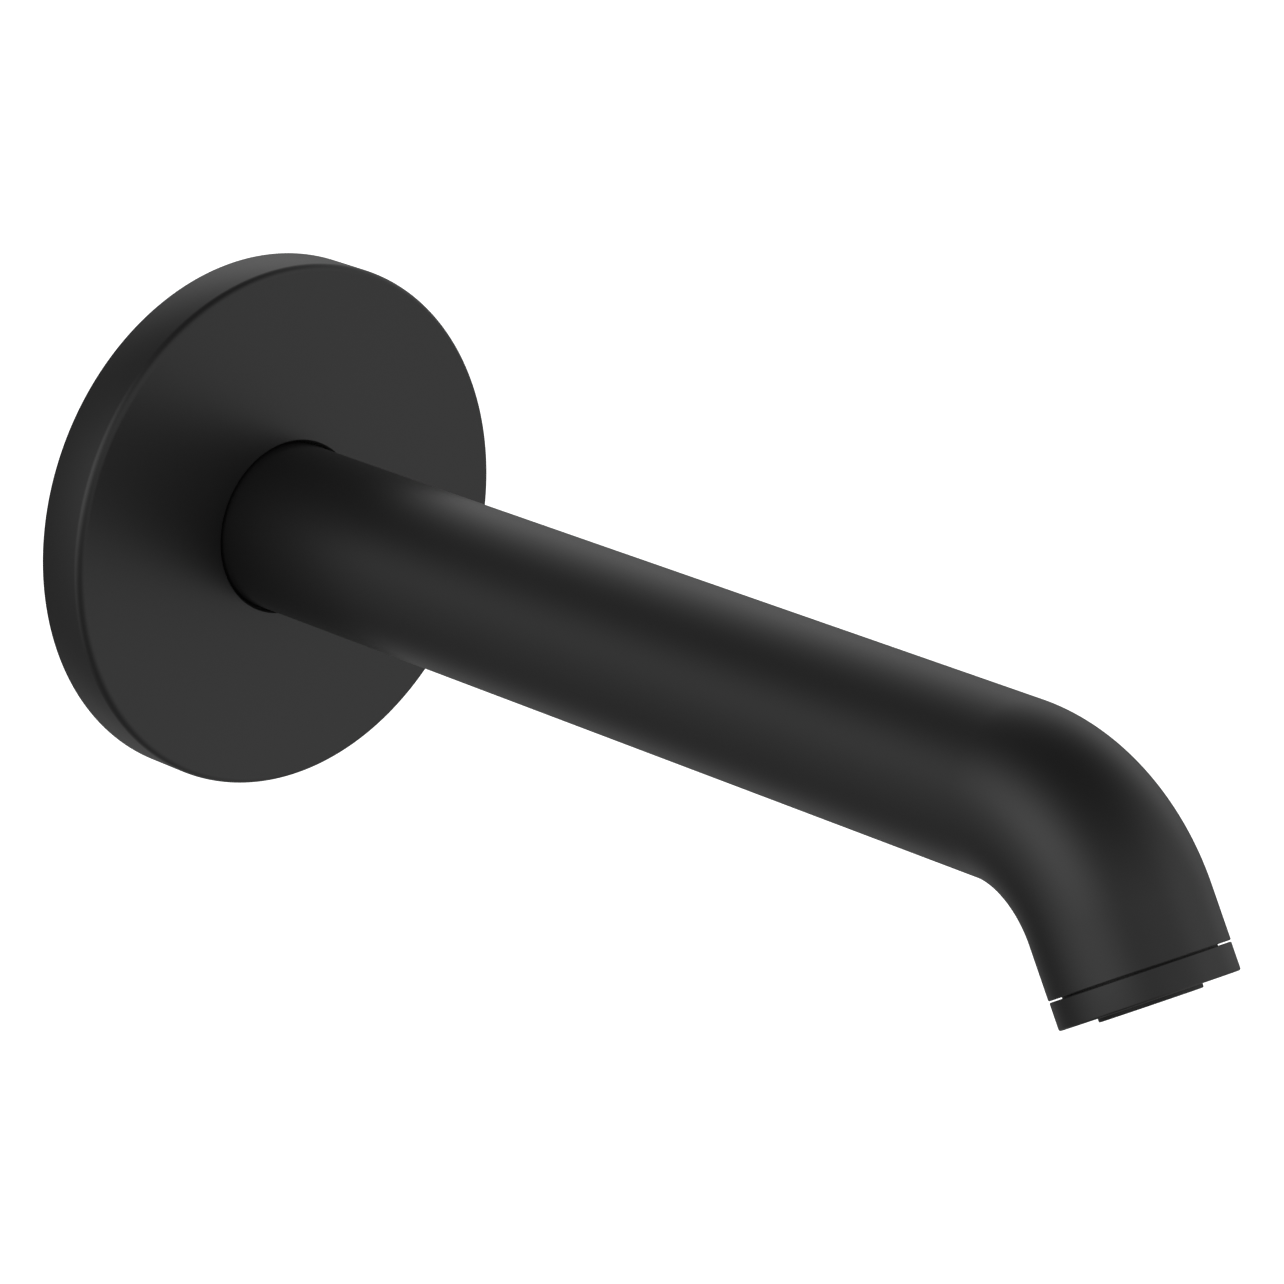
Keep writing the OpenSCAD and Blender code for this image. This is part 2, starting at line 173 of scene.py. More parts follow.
class SealSettings(bpy.types.PropertyGroup):
    rubber: colour("Rubber", "Colour of the seals", (0.018, 0.018, 0.018))
    foam: colour("Foam", "Colour of the foam ring", (0.03, 0.03, 0.031))
    cell: length("Foam cell", "Size of the foam's cells", 0.45 * MM)
    black_plastic: colour("Black plastic", "Colour of the insert's housing", (0.022, 0.022, 0.022))
    light_plastic: colour("Light plastic", "Colour of the strainer and the jet plate", (0.72, 0.72, 0.69))


class StageSettings(bpy.types.PropertyGroup):
    floor_below: length("Floor", "Distance from the spout's axis down to the floor", 1.6, 5)
    room_height: length("Room height", "Height of the studio's room", 6, 20)
    room_radius: length("Room radius", "Distance from the spout to the room's wall", 7, 20)
    cove: length("Cove", "Radius between the floor and the wall", 1.5, 5)
    floor: colour("Floor colour", "Colour of the floor and the wall", (0.9, 0.9, 0.9))
    floor_light: share("Floor light", "Brightness of the floor and the wall themselves", 1.0, 2)
    glow: share("Studio light", "Strength of the soft light on the spout", 1.0, 10)


class CameraSettings(bpy.types.PropertyGroup):
    place: FloatVectorProperty(
        name="Place",
        description="Where the camera stands",
        default=(-0.6604, -0.79829, 0.323432),
        subtype="TRANSLATION",
        unit="LENGTH",
        precision=5,
    )
    azimuth: angle("Azimuth", "Angle of the view round the spout", -43.193)
    elevation: angle("Elevation", "Angle of the view above the horizon", 18.422)
    roll: angle("Roll", "Turn of the camera about its own line of sight", 1.272)
    focal_length: FloatProperty(
        name="Focal length", description="Focal length on a 36 mm sensor", default=183.32, unit="CAMERA"
    )


GROUPS = {
    "spout_tube_sizes": TubeSettings,
    "spout_flange_sizes": FlangeSettings,
    "spout_outlet_sizes": OutletSettings,
    "spout_nipple_sizes": NippleSettings,
    "spout_coating": CoatingSettings,
    "spout_metal": MetalSettings,
    "spout_seal": SealSettings,
    "spout_stage": StageSettings,
    "spout_camera": CameraSettings,
}


# Shader maths


class Value:
    """A number in a finish that changes over the surface. Its operators add Math nodes."""

    def __init__(self, finish, socket):
        self.finish = finish
        self.socket = socket

    def maths(self, operation, *others):
        return self.finish.node("ShaderNodeMath", {"operation": operation}, dict(enumerate((self, *others))))

    def reflected(self, operation, other):
        return self.finish.node("ShaderNodeMath", {"operation": operation}, {0: other, 1: self})

    def __add__(self, other):
        return self.maths("ADD", other)

    def __sub__(self, other):
        return self.maths("SUBTRACT", other)

    def __mul__(self, other):
        return self.maths("MULTIPLY", other)

    def __pow__(self, other):
        return self.maths("POWER", other)

    def __rsub__(self, other):
        return self.reflected("SUBTRACT", other)

    __radd__ = __add__
    __rmul__ = __mul__

    def exponential(self):
        return self.maths("EXPONENT")


class Nodes:
    """The nodes that feed one shader."""

    def __init__(self, tree, shader):
        self.tree = tree
        self.shader = tree.nodes[shader]

    def node(self, kind, settings=None, sockets=None, output=0):
        """Adds a node, sets it up, feeds its sockets and gives one of its outputs."""
        made = self.tree.nodes.new(kind)
        for key, setting in (settings or {}).items():
            if key == "stops":
                self.set_stops(made.color_ramp, setting)
            else:
                setattr(made, key, setting)
        for key, fed in (sockets or {}).items():
            self.feed(made.inputs[key], fed)
        return Value(self, made.outputs[output])

    def set_stops(self, ramp, stops):
        """Puts the stops, as pairs of place and grey, on a ramp that starts with two."""
        for place, _ in stops[2:]:
            ramp.elements.new(place)
        for element, (place, grey) in zip(ramp.elements, stops):
            element.position = place
            element.color = (grey, grey, grey, 1)

    def feed(self, socket, fed):
        if isinstance(fed, Value):
            self.tree.links.new(fed.socket, socket)
        else:
            socket.default_value = fed

    def set(self, **values):
        """Feeds the shader's own sockets, whose names are written with underscores."""
        for key, fed in values.items():
            self.feed(self.shader.inputs[key.replace("_", " ")], fed)


class Finish(Nodes):
    """One material, whose nodes feed its Principled shader."""

    def __init__(self, name):
        self.material = bpy.data.materials.new(name)
        self.material.use_nodes = True
        super().__init__(self.material.node_tree, "Principled BSDF")

    def place(self):
        """The point on the surface, in metres in the object's own frame."""
        return self.node("ShaderNodeTexCoord", output="Object")

    def axes(self, point):
        """The three numbers of a point."""
        apart = self.tree.nodes.new("ShaderNodeSeparateXYZ")
        self.feed(apart.inputs[0], point)
        return [Value(self, socket) for socket in apart.outputs]

    def noise(self, point, size, detail=2.0, roughness=0.5):
        """Soft noise from 0 to 1 whose blotches have the given size in metres."""
        sockets = {"Vector": point, "Scale": 1 / size, "Detail": detail, "Roughness": roughness}
        return self.node("ShaderNodeTexNoise", {}, sockets)

    def tint(self, factor, dark, light):
        """A colour between two, by a number from 0 to 1."""
        mix = self.tree.nodes.new("ShaderNodeMix")
        mix.data_type = "RGBA"
        for key, fed in ((0, factor), (6, (*dark, 1)), (7, (*light, 1))):
            self.feed(mix.inputs[key], fed)
        return Value(self, mix.outputs[2])

    def bump(self, height, distance, normal=None):
        """A normal that follows a height from 0 to 1, which stands for the distance in metres."""
        sockets = {"Height": height, "Distance": distance, "Strength": 1.0}
        if normal is not None:
            sockets["Normal"] = normal
        return self.node("ShaderNodeBump", {}, sockets)


def darker(rgb, times):
    return tuple(times * part for part in rgb)


# Finishes


def matt_black_coating(settings):
    """Matt black coating: an even black with a fine grain and very soft waves."""
    finish = Finish("matt_black_coating")
    point = finish.place()
    grain = finish.noise(point, settings.grain, 3.0, 0.6)
    flow = finish.noise(point, settings.flow, 1.0)
    cloud = finish.noise(point, 14 * settings.flow, 2.0)
    waved = finish.bump(flow, settings.flow_height)
    finish.set(
        Base_Color=finish.tint(cloud, darker(settings.colour, 0.94), darker(settings.colour, 1.06)),
        Roughness=settings.roughness + (grain - 0.5) * 0.06 + (cloud - 0.5) * 0.02,
        IOR=1.5,
        Normal=finish.bump(grain, settings.grain_height, waved),
    )
    return finish.material


def turned_brass(settings):
    """Turned brass: fine rings left by the tool, a little uneven, and faint stains."""
    finish = Finish("turned_brass")
    point = finish.place()
    across, along, upright = finish.axes(point)
    radius = (across * across + upright * upright) ** 0.5
    ring_place = finish.node("ShaderNodeCombineXYZ", {}, {0: along + radius, 1: radius * 0.2, 2: 0.0})
    rings = finish.noise(ring_place, settings.tool_mark, 2.0)
    stain = finish.noise(point, 4 * MM, 3.0)
    finish.set(
        Base_Color=finish.tint(stain, darker(settings.brass, 0.86), settings.brass),
        Metallic=1.0,
        Roughness=(0.2 + rings * 0.12 + stain * 0.08),
        Normal=finish.bump(rings, 0.002 * MM),
    )
    return finish.material


def bright_steel(name, settings, roughness):
    """Drawn stainless steel with faint cloudy marks."""
    finish = Finish(name)
    point = finish.place()
    cloud = finish.noise(point, 0.8 * MM, 3.0)
    finish.set(
        Base_Color=finish.tint(cloud, darker(settings.steel, 0.8), settings.steel),
        Metallic=1.0,
        Roughness=roughness + (cloud - 0.5) * 0.12,
        Normal=finish.bump(cloud, 0.004 * MM),
    )
    return finish.material


def moulded(name, rgb, roughness, grain, height):
    """Moulded rubber or plastic: a fine even grain from the mould."""
    finish = Finish(name)
    point = finish.place()
    texture = finish.noise(point, grain, 3.0, 0.6)
    cloud = finish.noise(point, 20 * grain, 2.0)
    finish.set(
        Base_Color=finish.tint(cloud, darker(rgb, 0.9), darker(rgb, 1.08)),
        Roughness=roughness + (texture - 0.5) * 0.1,
        Normal=finish.bump(texture, height),
    )
    return finish.material


def foam(settings):
    """Closed-cell foam: small round cells with sunken middles, which are also painted darker as painted
    shade in the pits.
    """
    finish = Finish("closed_cell_foam")
    point = finish.place()
    cells = finish.node(
        "ShaderNodeTexVoronoi", {"feature": "F1"}, {"Vector": point, "Scale": 1 / settings.cell}, "Distance"
    )
    # This value gives both the bump's depth and the painted shade: the colour is darker where the cells sink
    # in.
    pit_depth_and_shade = finish.node("ShaderNodeValToRGB", {"stops": [(0.15, 0.0), (0.6, 1.0)]}, {0: cells})
    finish.set(
        Base_Color=finish.tint(pit_depth_and_shade, darker(settings.foam, 0.5), darker(settings.foam, 1.2)),
        Roughness=0.95,
        Normal=finish.bump(pit_depth_and_shade, 0.08 * MM),
    )
    return finish.material


def pale_floor(settings):
    """Pale studio floor, lit from within so that it is even all over."""
    finish = Finish("pale_floor")
    finish.set(
        Base_Color=(*settings.floor, 1),
        Roughness=0.9,
        Emission_Color=(1, 1, 1, 1),
        Emission_Strength=settings.floor_light,
    )
    finish.material.cycles.emission_sampling = "NONE"
    return finish.material


# Soft glows round the spout: the azimuth and elevation in degrees that each comes from, the angle from
# its middle at which it is half as bright, and its strength

GLOWS = {
    "left": (-105, 20, 23, 1.4),
    "left front": (-70, 15, 23, 0.6),
    "front left": (-15, 25, 23, 0.55),
    "front right": (40, 25, 23, 0.65),
    "right": (95, 20, 24, 0.5),
    "back right": (150, 25, 23, 0.65),
    "low left": (-110, -25, 23, 0.45),
    "low front right": (30, -30, 34, 0.75),
    "low back": (155, -55, 26, 0.3),
}


def outward(azimuth, elevation):
    """The way from the spout at an azimuth, from -Y towards +X, and an elevation above the horizon."""
    level = math.cos(elevation)
    return Vector((math.sin(azimuth) * level, -math.cos(azimuth) * level, math.sin(elevation)))


def studio_light(strength):
    """The light of the studio: soft glows that fade into each other."""
    world = bpy.data.worlds.new("studio")
    world.use_nodes = True
    light = Nodes(world.node_tree, "Background")
    way = light.node("ShaderNodeTexCoord", output="Generated")
    total = 0.0
    for azimuth, elevation, half_angle, glow in GLOWS.values():
        middle = outward(math.radians(azimuth), math.radians(elevation))
        near = light.node("ShaderNodeVectorMath", {"operation": "DOT_PRODUCT"}, {0: way, 1: middle}, "Value")
        sharpness = math.log(2) / (1 - math.cos(math.radians(half_angle)))
        total = total + ((near - 1) * sharpness).exponential() * (glow * strength)
    light.set(Color=(1, 1, 1, 1), Strength=total)
    return world


# Outlines of turned pieces. Each is a list of rings, and a ring is a height and its radius at an angle.


def plain(radius, height):
    """A round ring."""
    return height, lambda turn: radius


def hexagon(flats, height):
    """A six-sided ring."""

    def reach(turn):
        sixth = TURN / 6
        return flats / 2 / math.cos((turn + sixth / 2) % sixth - sixth / 2)

    return height, reach


def rounded(centre_radius, centre_height, edge, start, end, points=8):
    """Rings round a quarter circle, between two angles in degrees from the outward direction."""
    angles = [math.radians(start + (end - start) * i / points) for i in range(points + 1)]
    return [plain(centre_radius + edge * math.cos(a), centre_height + edge * math.sin(a)) for a in angles]


def thread_form(phase):
    """Depth of a thread from 0 at its crest to 1 at its root, over one turn."""
    away = abs(phase % 1.0 - 0.5) * 2
    return min(1.0, max(0.0, (0.88 - away) / 0.76))


def threaded(radius, start, end, pitch, run_out, points=20):
    """Rings of a thread between two heights, which fades out within a length at its start and its end."""
    depth = 0.6403 * pitch
    count = round(abs(end - start) / pitch * points)
    rings = []
    for i in range(count + 1):
        height = start + (end - start) * i / count
        fade = min(1.0, abs(height - start) / run_out[0], abs(end - height) / run_out[1])

        def reach(turn, height=height, fade=fade):
            return radius - depth * fade * thread_form(height / pitch - turn / TURN)

        rings.append((height, reach))
    return rings


# Meshes


def new_piece(name, work, sharp=30):
    """Makes a piece from a bmesh, smooth apart from its sharp edges."""
    bmesh.ops.recalc_face_normals(work, faces=work.faces)
    mesh = bpy.data.meshes.new(name)
    work.to_mesh(mesh)
    work.free()
    for face in mesh.polygons:
        face.use_smooth = True
    mesh.set_sharp_from_angle(angle=math.radians(sharp))
    piece = bpy.data.objects.new(name, mesh)
    bpy.context.scene.collection.objects.link(piece)
    return piece


def join_loops(work, loops, closed):
    """Faces between each loop of points and the next, and from the last back to the first if closed."""
    pairs = zip(loops, loops[1:] + loops[:1]) if closed else zip(loops, loops[1:])
    for one, other in pairs:
        for i in range(len(one)):
            k = (i + 1) % len(one)
            work.faces.new((one[i], one[k], other[k], other[i]))


def ring_points(work, rings, sides, place):
    """A loop of points for each ring of an outline round +Z, put in place by a matrix."""
    loops = []
    for height, reach in rings:
        turns = [TURN * i / sides for i in range(sides)]
        points = [(reach(t) * math.cos(t), reach(t) * math.sin(t), height) for t in turns]
        loops.append([work.verts.new(place @ Vector(p)) for p in points])
    return loops


def turned(name, rings, sides, place):
    """A closed piece turned round +Z from its outline, then put in place by a matrix."""
    work = bmesh.new()
    join_loops(work, ring_points(work, rings, sides, place), closed=True)
    return new_piece(name, work)


def finished(piece, material, slot, *nodes):
    """Gives a piece its finish, lets it ride on the body, and hides the nodes that it stands for."""
    piece.data.materials.clear()
    piece.data.materials.append(material)
    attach(piece, BODY)
    if nodes:
        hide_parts(*nodes)
    return piece


def finish_nodes(nodes, material):
    """Puts a material on nodes that keep their own shape."""
    for name in nodes:
        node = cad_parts[name]
        node.data.materials.clear()
        node.data.materials.append(material)


def out_of_wall():
    """Turns +Z to point out of the wall, along -Y."""
    return Matrix.Rotation(math.radians(90), 4, "X")


def at_outlet(tube):
    """Puts the origin at the seam, with +Z pointing out of the nose."""
    centre = Matrix.Translation((0, -tube.reach, -tube.bend_radius))
    bend = Matrix.Rotation(tube.bend_angle, 4, "X")
    arm = Matrix.Translation((0, 0, tube.bend_radius))
    return centre @ bend @ arm @ out_of_wall() @ Matrix.Translation((0, 0, tube.nose))


def shared(name, make, settings):
    """A finish that several operators use, made once."""
    return bpy.data.materials.get(name) or make(settings)


# Operators


class SPOUT_OT_tube(bpy.types.Operator):
    """Builds the bent tube with its bore, chamfered outlet end and screw hole"""

    bl_idname = "spout.tube"
    bl_label = "Tube"

    def stations(self, tube):
        """Matrices along the tube's centreline, from the wall to the seam."""
        straight_step = 5 * MM
        count = round((tube.reach - tube.back) / straight_step)
        for i in range(count):
            along = tube.back + (tube.reach - tube.back) * i / count
            yield out_of_wall() @ Matrix.Translation((0, 0, along))
        bend_steps = 48
        centre = Matrix.Translation((0, -tube.reach, -tube.bend_radius))
        arm = Matrix.Translation((0, 0, tube.bend_radius))
        for i in range(bend_steps + 1):
            bend = Matrix.Rotation(tube.bend_angle * i / bend_steps, 4, "X")
            yield centre @ bend @ arm @ out_of_wall()

    def execute(self, context):
        tube = context.scene.spout_tube_sizes
        outer, bore = tube.radius, tube.radius - tube.wall
        path = list(self.stations(tube))
        seam = at_outlet(tube)
        lip = seam @ Matrix.Translation((0, 0, -tube.chamfer))
        rings = [(m, outer) for m in path]
        rings += [(lip, outer), (seam, outer - tube.chamfer), (seam, bore)]
        rings += [(m, bore) for m in reversed(path)]
        work = bmesh.new()
        loops = []
        for place, radius in rings:
            turns = [TURN * i / tube.sides for i in range(tube.sides)]
            points = [place @ Vector((radius * math.cos(t), radius * math.sin(t), 0)) for t in turns]
            loops.append([work.verts.new(p) for p in points])
        join_loops(work, loops, closed=True)
        piece = new_piece("bent_tube", work)
        self.drill(piece, tube)
        coating = shared("matt_black_coating", matt_black_coating, context.scene.spout_coating)
        finished(piece, coating, "black_coating", "spout_tube")
        return {"FINISHED"}

    def drill(self, piece, tube):
        """Cuts the set screw's hole through the underside, with its edge just broken."""
        work = bmesh.new()
        edge_break = 0.12 * MM
        past = 2 * MM
        place = Matrix.Translation((0, -tube.screw_from_wall, 0)) @ Matrix.Rotation(math.pi, 4, "X")
        rings = [plain(tube.screw_hole, tube.radius / 2)]
        rings += [plain(tube.screw_hole, tube.radius - edge_break - 0.25 * MM)]
        rings += [plain(tube.screw_hole + past + edge_break, tube.radius + past)]
        loops = ring_points(work, rings, 96, place)
        join_loops(work, loops, closed=False)
        work.faces.new(loops[0])
        work.faces.new(loops[-1])
        cutter = new_piece("screw_hole_cutter", work)
        cut = piece.modifiers.new("screw hole", "BOOLEAN")
        cut.operation = "DIFFERENCE"
        cut.solver = "EXACT"
        cut.object = cutter
        bpy.context.view_layer.update()
        done = bpy.data.meshes.new_from_object(piece.evaluated_get(bpy.context.evaluated_depsgraph_get()))
        piece.modifiers.clear()
        piece.data = done
        for face in done.polygons:
            face.use_smooth = True
        done.set_sharp_from_angle(angle=math.radians(30))
        bpy.data.objects.remove(cutter)


class SPOUT_OT_flange(bpy.types.Operator):
    """Builds the round wall flange with its hub, O-ring groove and hollow back"""

    bl_idname = "spout.flange"
    bl_label = "Flange"

    def execute(self, context):
        flange = context.scene.spout_flange_sizes
        tube = context.scene.spout_tube_sizes
        hole = tube.radius + flange.gap
        groove = tube.radius + flange.groove
        groove_front = flange.depth - flange.groove_front
        groove_back = groove_front - flange.groove_width
        hub_back = groove_back - flange.groove_back
        hub = groove + flange.hub
        hollow = flange.radius - flange.rim
        plate_back = flange.depth - flange.plate
        edge, back = flange.edge, flange.back_edge
        rings = rounded(flange.radius - back, back, back, -90, 0, 4)
        rings += rounded(flange.radius - edge, flange.depth - edge, edge, 0, 90, 12)
        rings += [plain(hole + flange.hole_chamfer, flange.depth)]
        rings += [plain(hole, flange.depth - flange.hole_chamfer)]
        rings += [plain(hole, groove_front), plain(groove, groove_front)]
        rings += [plain(groove, groove_back), plain(hole, groove_back)]
        rings += [plain(hole, hub_back), plain(hub, hub_back)]
        rings += [plain(hub, plate_back), plain(hollow, plate_back), plain(hollow, 0)]
        piece = turned("wall_flange_turned", rings, flange.sides, out_of_wall())
        coating = shared("matt_black_coating", matt_black_coating, context.scene.spout_coating)
        finished(piece, coating, "black_coating", "wall_flange")
        return {"FINISHED"}


class SPOUT_OT_collar(bpy.types.Operator):
    """Builds the collar at the outlet with its thread and lip"""

    bl_idname = "spout.collar"
    bl_label = "Collar"

    def execute(self, context):
        outlet = context.scene.spout_outlet_sizes
        tube = context.scene.spout_tube_sizes
        chamfer = tube.chamfer
        lip_chamfer = 0.3 * MM
        lip_top = outlet.height - outlet.lip_thickness
        run_out = (outlet.thread_pitch / 2, outlet.thread_pitch / 2)
        rings = [plain(outlet.bore, -outlet.thread_length)]
        rings += threaded(outlet.thread, -outlet.thread_length, 0, outlet.thread_pitch, run_out, 12)
        rings += [plain(outlet.thread, outlet.seam), plain(outlet.radius - chamfer, outlet.seam)]
        rings += [plain(outlet.radius, outlet.seam + chamfer)]
        rings += rounded(outlet.radius - outlet.edge, outlet.height - outlet.edge, outlet.edge, 0, 90, 8)
        rings += [plain(outlet.lip + lip_chamfer, outlet.height)]
        rings += [plain(outlet.lip, outlet.height - lip_chamfer)]
        rings += [plain(outlet.lip, lip_top), plain(outlet.bore, lip_top)]
        piece = turned("aerator_collar_turned", rings, 256, at_outlet(tube))
        coating = shared("matt_black_coating", matt_black_coating, context.scene.spout_coating)
        finished(piece, coating, "black_coating", "aerator_collar")
        return {"FINISHED"}


class SPOUT_OT_nipple(bpy.types.Operator):
    """Builds the brass nipple with its pipe thread, shoulder and seal grooves"""

    bl_idname = "spout.nipple"
    bl_label = "Nipple"

    def execute(self, context):
        nipple = context.scene.spout_nipple_sizes
        end = 38 * MM
        edge = 0.4 * MM
        screw, notch = 17 * MM, 1 * MM
        groove_depth, groove_half = 1.5 * MM, 1.3 * MM
        behind = -nipple.thread_length - nipple.lead
        root = nipple.thread - nipple.lead
        rings = [plain(nipple.waterway, behind), plain(root, behind)]
        run_out = (0.8 * nipple.pitch, 0.3 * nipple.pitch)
        rings += threaded(nipple.thread, -nipple.thread_length, 0, nipple.pitch, run_out)
        rings += [plain(nipple.relief, 0), plain(nipple.relief, nipple.shoulder_back)]
        rings += [plain(nipple.shoulder, nipple.shoulder_back)]
        rings += [plain(nipple.shoulder, nipple.shoulder_front - edge)]
        rings += [plain(nipple.shoulder - edge, nipple.shoulder_front)]
        rings += [plain(nipple.spigot, nipple.shoulder_front)]
        rings += [plain(nipple.spigot, screw - notch), plain(nipple.spigot - notch, screw)]
        rings += [plain(nipple.spigot, screw + notch)]
        for groove in (end - 13.5 * MM, end - 9 * MM):
            rings += [plain(nipple.spigot, groove - groove_half)]
            rings += [plain(nipple.spigot - groove_depth, groove - groove_half)]
            rings += [plain(nipple.spigot - groove_depth, groove + groove_half)]
            rings += [plain(nipple.spigot, groove + groove_half)]
        rings += [plain(nipple.spigot, end - 1 * MM), plain(nipple.spigot - 1 * MM, end)]
        rings += [hexagon(nipple.key, end), hexagon(nipple.key, end - nipple.key_depth)]
        rings += [plain(nipple.waterway, end - nipple.key_depth)]
        piece = turned("threaded_nipple", rings, 192, out_of_wall())
        brass = shared("turned_brass", turned_brass, context.scene.spout_metal)
        finished(piece, brass, "brass", "wall_nipple")
        return {"FINISHED"}


class SPOUT_OT_screens(bpy.types.Operator):
    """Weaves the insert's two wire screens"""

    bl_idname = "spout.screens"
    bl_label = "Screens"

    def wire(self, work, points, radius, sides=6):
        """A closed round wire along points that run mostly straight."""
        loops = []
        for i, point in enumerate(points):
            ahead = points[min(i + 1, len(points) - 1)] - points[max(i - 1, 0)]
            side = ahead.cross(Vector((0, 0, 1))).normalized()
            up = side.cross(ahead).normalized()
            turns = [TURN * k / sides for k in range(sides)]
            round_it = [math.cos(t) * side + math.sin(t) * up for t in turns]
            loops.append([work.verts.new(point + radius * step) for step in round_it])
        join_loops(work, loops, closed=False)
        work.faces.new(loops[0])
        work.faces.new(loops[-1])

    def weave(self, name, radius, middle, outlet, place):
        work = bmesh.new()
        pitch, thick = outlet.mesh_pitch, outlet.wire / 2
        count = int(radius / pitch)
        wave = thick * 0.98
        for way in (0, 1):
            for row in range(-count, count + 1):
                offset = row * pitch
                half = math.sqrt(max(0.0, (radius - thick) ** 2 - offset**2))
                steps = max(4, int(2 * half / (pitch / 4)))
                points = []
                for i in range(steps + 1):
                    along = -half + 2 * half * i / steps
                    over = wave * math.cos(math.pi * (along / pitch + row + way))
                    across = (along, offset) if way == 0 else (offset, along)
                    points.append(Vector((*across, middle + over)))
                if half > pitch:
                    self.wire(work, points, thick)
        work.transform(place)
        return new_piece(name, work, sharp=60)

    def execute(self, context):
        outlet = context.scene.spout_outlet_sizes
        place = at_outlet(context.scene.spout_tube_sizes)
        steel = bright_steel("screen_wire", context.scene.spout_metal, 0.3)
        for node in ("upper_screen", "lower_screen"):
            low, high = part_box(node)
            centre = place.inverted() @ ((low + high) / 2)
            piece = self.weave(node + "_woven", node_radius(node), centre.z, outlet, place)
            finished(piece, steel, "steel", node)
        return {"FINISHED"}


class SPOUT_OT_brass(bpy.types.Operator):
    """Finishes the brass pieces that keep their own shape"""

    bl_idname = "spout.brass"
    bl_label = "Brass pieces"

    def execute(self, context):
        brass = shared("turned_brass", turned_brass, context.scene.spout_metal)
        finish_nodes(("inlet_socket", "outlet_bush"), brass)
        return {"FINISHED"}


class SPOUT_OT_screw(bpy.types.Operator):
    """Finishes the set screw"""

    bl_idname = "spout.screw"
    bl_label = "Set screw"

    def execute(self, context):
        finish_nodes(("set_screw",), bright_steel("set_screw_steel", context.scene.spout_metal, 0.34))
        return {"FINISHED"}


class SPOUT_OT_seals(bpy.types.Operator):
    """Finishes the rubber seals and the foam ring"""

    bl_idname = "spout.seals"
    bl_label = "Seals"

    def execute(self, context):
        seal = context.scene.spout_seal
        rubber = moulded("seal_rubber", seal.rubber, 0.62, 0.12 * MM, 0.004 * MM)
        rubber_nodes = ("flange_o_ring", "nipple_washer", "nipple_o_ring_front", "nipple_o_ring_rear")
        finish_nodes(rubber_nodes + ("aerator_washer", "regulator_ring"), rubber)
        finish_nodes(("wall_gasket",), foam(seal))
        return {"FINISHED"}


class SPOUT_OT_insert(bpy.types.Operator):
    """Finishes the insert's plastic pieces"""

    bl_idname = "spout.insert"
    bl_label = "Insert"

    def execute(self, context):
        seal = context.scene.spout_seal
        black = moulded("black_plastic", seal.black_plastic, 0.45, 0.1 * MM, 0.003 * MM)
        light = moulded("light_plastic", seal.light_plastic, 0.4, 0.1 * MM, 0.003 * MM)
        finish_nodes(("aerator_housing",), black)
        finish_nodes(("inlet_strainer", "jet_plate"), light)
        return {"FINISHED"}


class SPOUT_OT_stage(bpy.types.Operator):
    """Sets the pale floor and the soft studio light"""

    bl_idname = "spout.stage"
    bl_label = "Stage"

    def execute(self, context):
        stage = context.scene.spout_stage
        bottom = -stage.floor_below
        middle = stage.room_radius - stage.cove
        rings = rounded(middle, bottom + stage.cove, stage.cove, -90, 0)
        rings += rounded(middle, bottom + stage.room_height - stage.cove, stage.cove, 0, 90)
        work = bmesh.new()
        loops = ring_points(work, rings, 96, Matrix())
        join_loops(work, loops, closed=False)
        work.faces.new(loops[0])
        work.faces.new(loops[-1])
        room = new_piece("studio_floor_and_wall", work)
        room.data.materials.append(pale_floor(stage))
        room.visible_diffuse = False
        room.visible_glossy = False
        room.visible_transmission = False
        room.visible_shadow = False
        context.scene.world = studio_light(stage.glow)
        context.scene.view_settings.view_transform = "Standard"
        return {"FINISHED"}


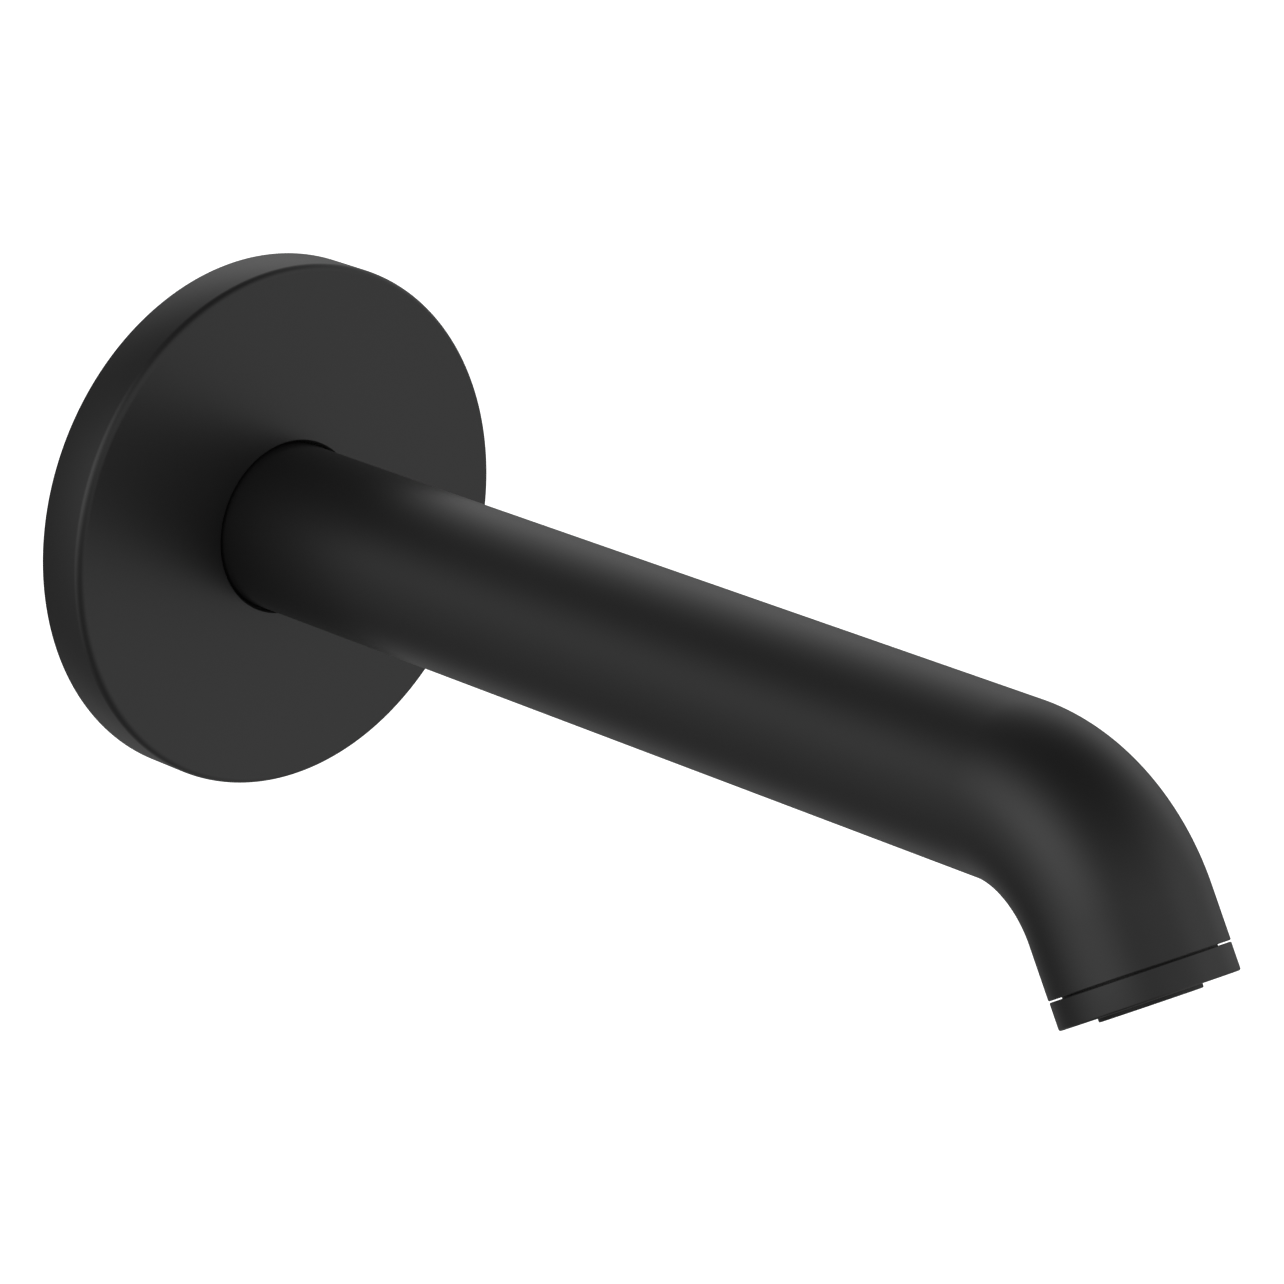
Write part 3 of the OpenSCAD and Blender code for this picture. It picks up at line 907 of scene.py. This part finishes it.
class SPOUT_OT_camera(bpy.types.Operator):
    """Puts the camera where the view of the spout is taken from"""

    bl_idname = "spout.camera"
    bl_label = "Camera"

    def execute(self, context):
        view = context.scene.spout_camera
        back = outward(view.azimuth, view.elevation)
        right = (-back).cross(Vector((0, 0, 1))).normalized()
        up = right.cross(-back)
        turned_right = math.cos(view.roll) * right + math.sin(view.roll) * up
        turned_up = math.cos(view.roll) * up - math.sin(view.roll) * right
        lens = bpy.data.cameras.new("view")
        lens.sensor_width = 36
        lens.lens = view.focal_length
        lens.clip_start, lens.clip_end = 0.05, 100
        camera = bpy.data.objects.new("view", lens)
        context.scene.collection.objects.link(camera)
        axes = Matrix((turned_right, turned_up, back)).transposed().to_4x4()
        camera.matrix_world = Matrix.Translation(view.place) @ axes
        context.scene.camera = camera
        return {"FINISHED"}


class SPOUT_PT_panel(bpy.types.Panel):
    """Lists the spout's steps and settings in the 3D view's sidebar"""

    bl_idname = "SPOUT_PT_panel"
    bl_label = "Spout"
    bl_space_type = "VIEW_3D"
    bl_region_type = "UI"
    bl_category = "Spout"

    def draw(self, context):
        for step in OPERATORS:
            self.layout.operator(step.bl_idname)
        for name, group in GROUPS.items():
            box = self.layout.box()
            for prop in group.__annotations__:
                box.prop(getattr(context.scene, name), prop)


OPERATORS = (
    SPOUT_OT_camera,
    SPOUT_OT_tube,
    SPOUT_OT_flange,
    SPOUT_OT_collar,
    SPOUT_OT_nipple,
    SPOUT_OT_screens,
    SPOUT_OT_brass,
    SPOUT_OT_screw,
    SPOUT_OT_seals,
    SPOUT_OT_insert,
    SPOUT_OT_stage,
)
CLASSES = (*GROUPS.values(), *OPERATORS, SPOUT_PT_panel)


def register():
    for cls in CLASSES:
        bpy.utils.register_class(cls)
    for name, group in GROUPS.items():
        setattr(bpy.types.Scene, name, PointerProperty(type=group))


def unregister():
    for name in GROUPS:
        delattr(bpy.types.Scene, name)
    for cls in reversed(CLASSES):
        bpy.utils.unregister_class(cls)


def main():
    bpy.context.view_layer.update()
    register()
    for step in OPERATORS:
        group, name = step.bl_idname.split(".")
        getattr(getattr(bpy.ops, group), name)()


if __name__ == "__main__":
    main()
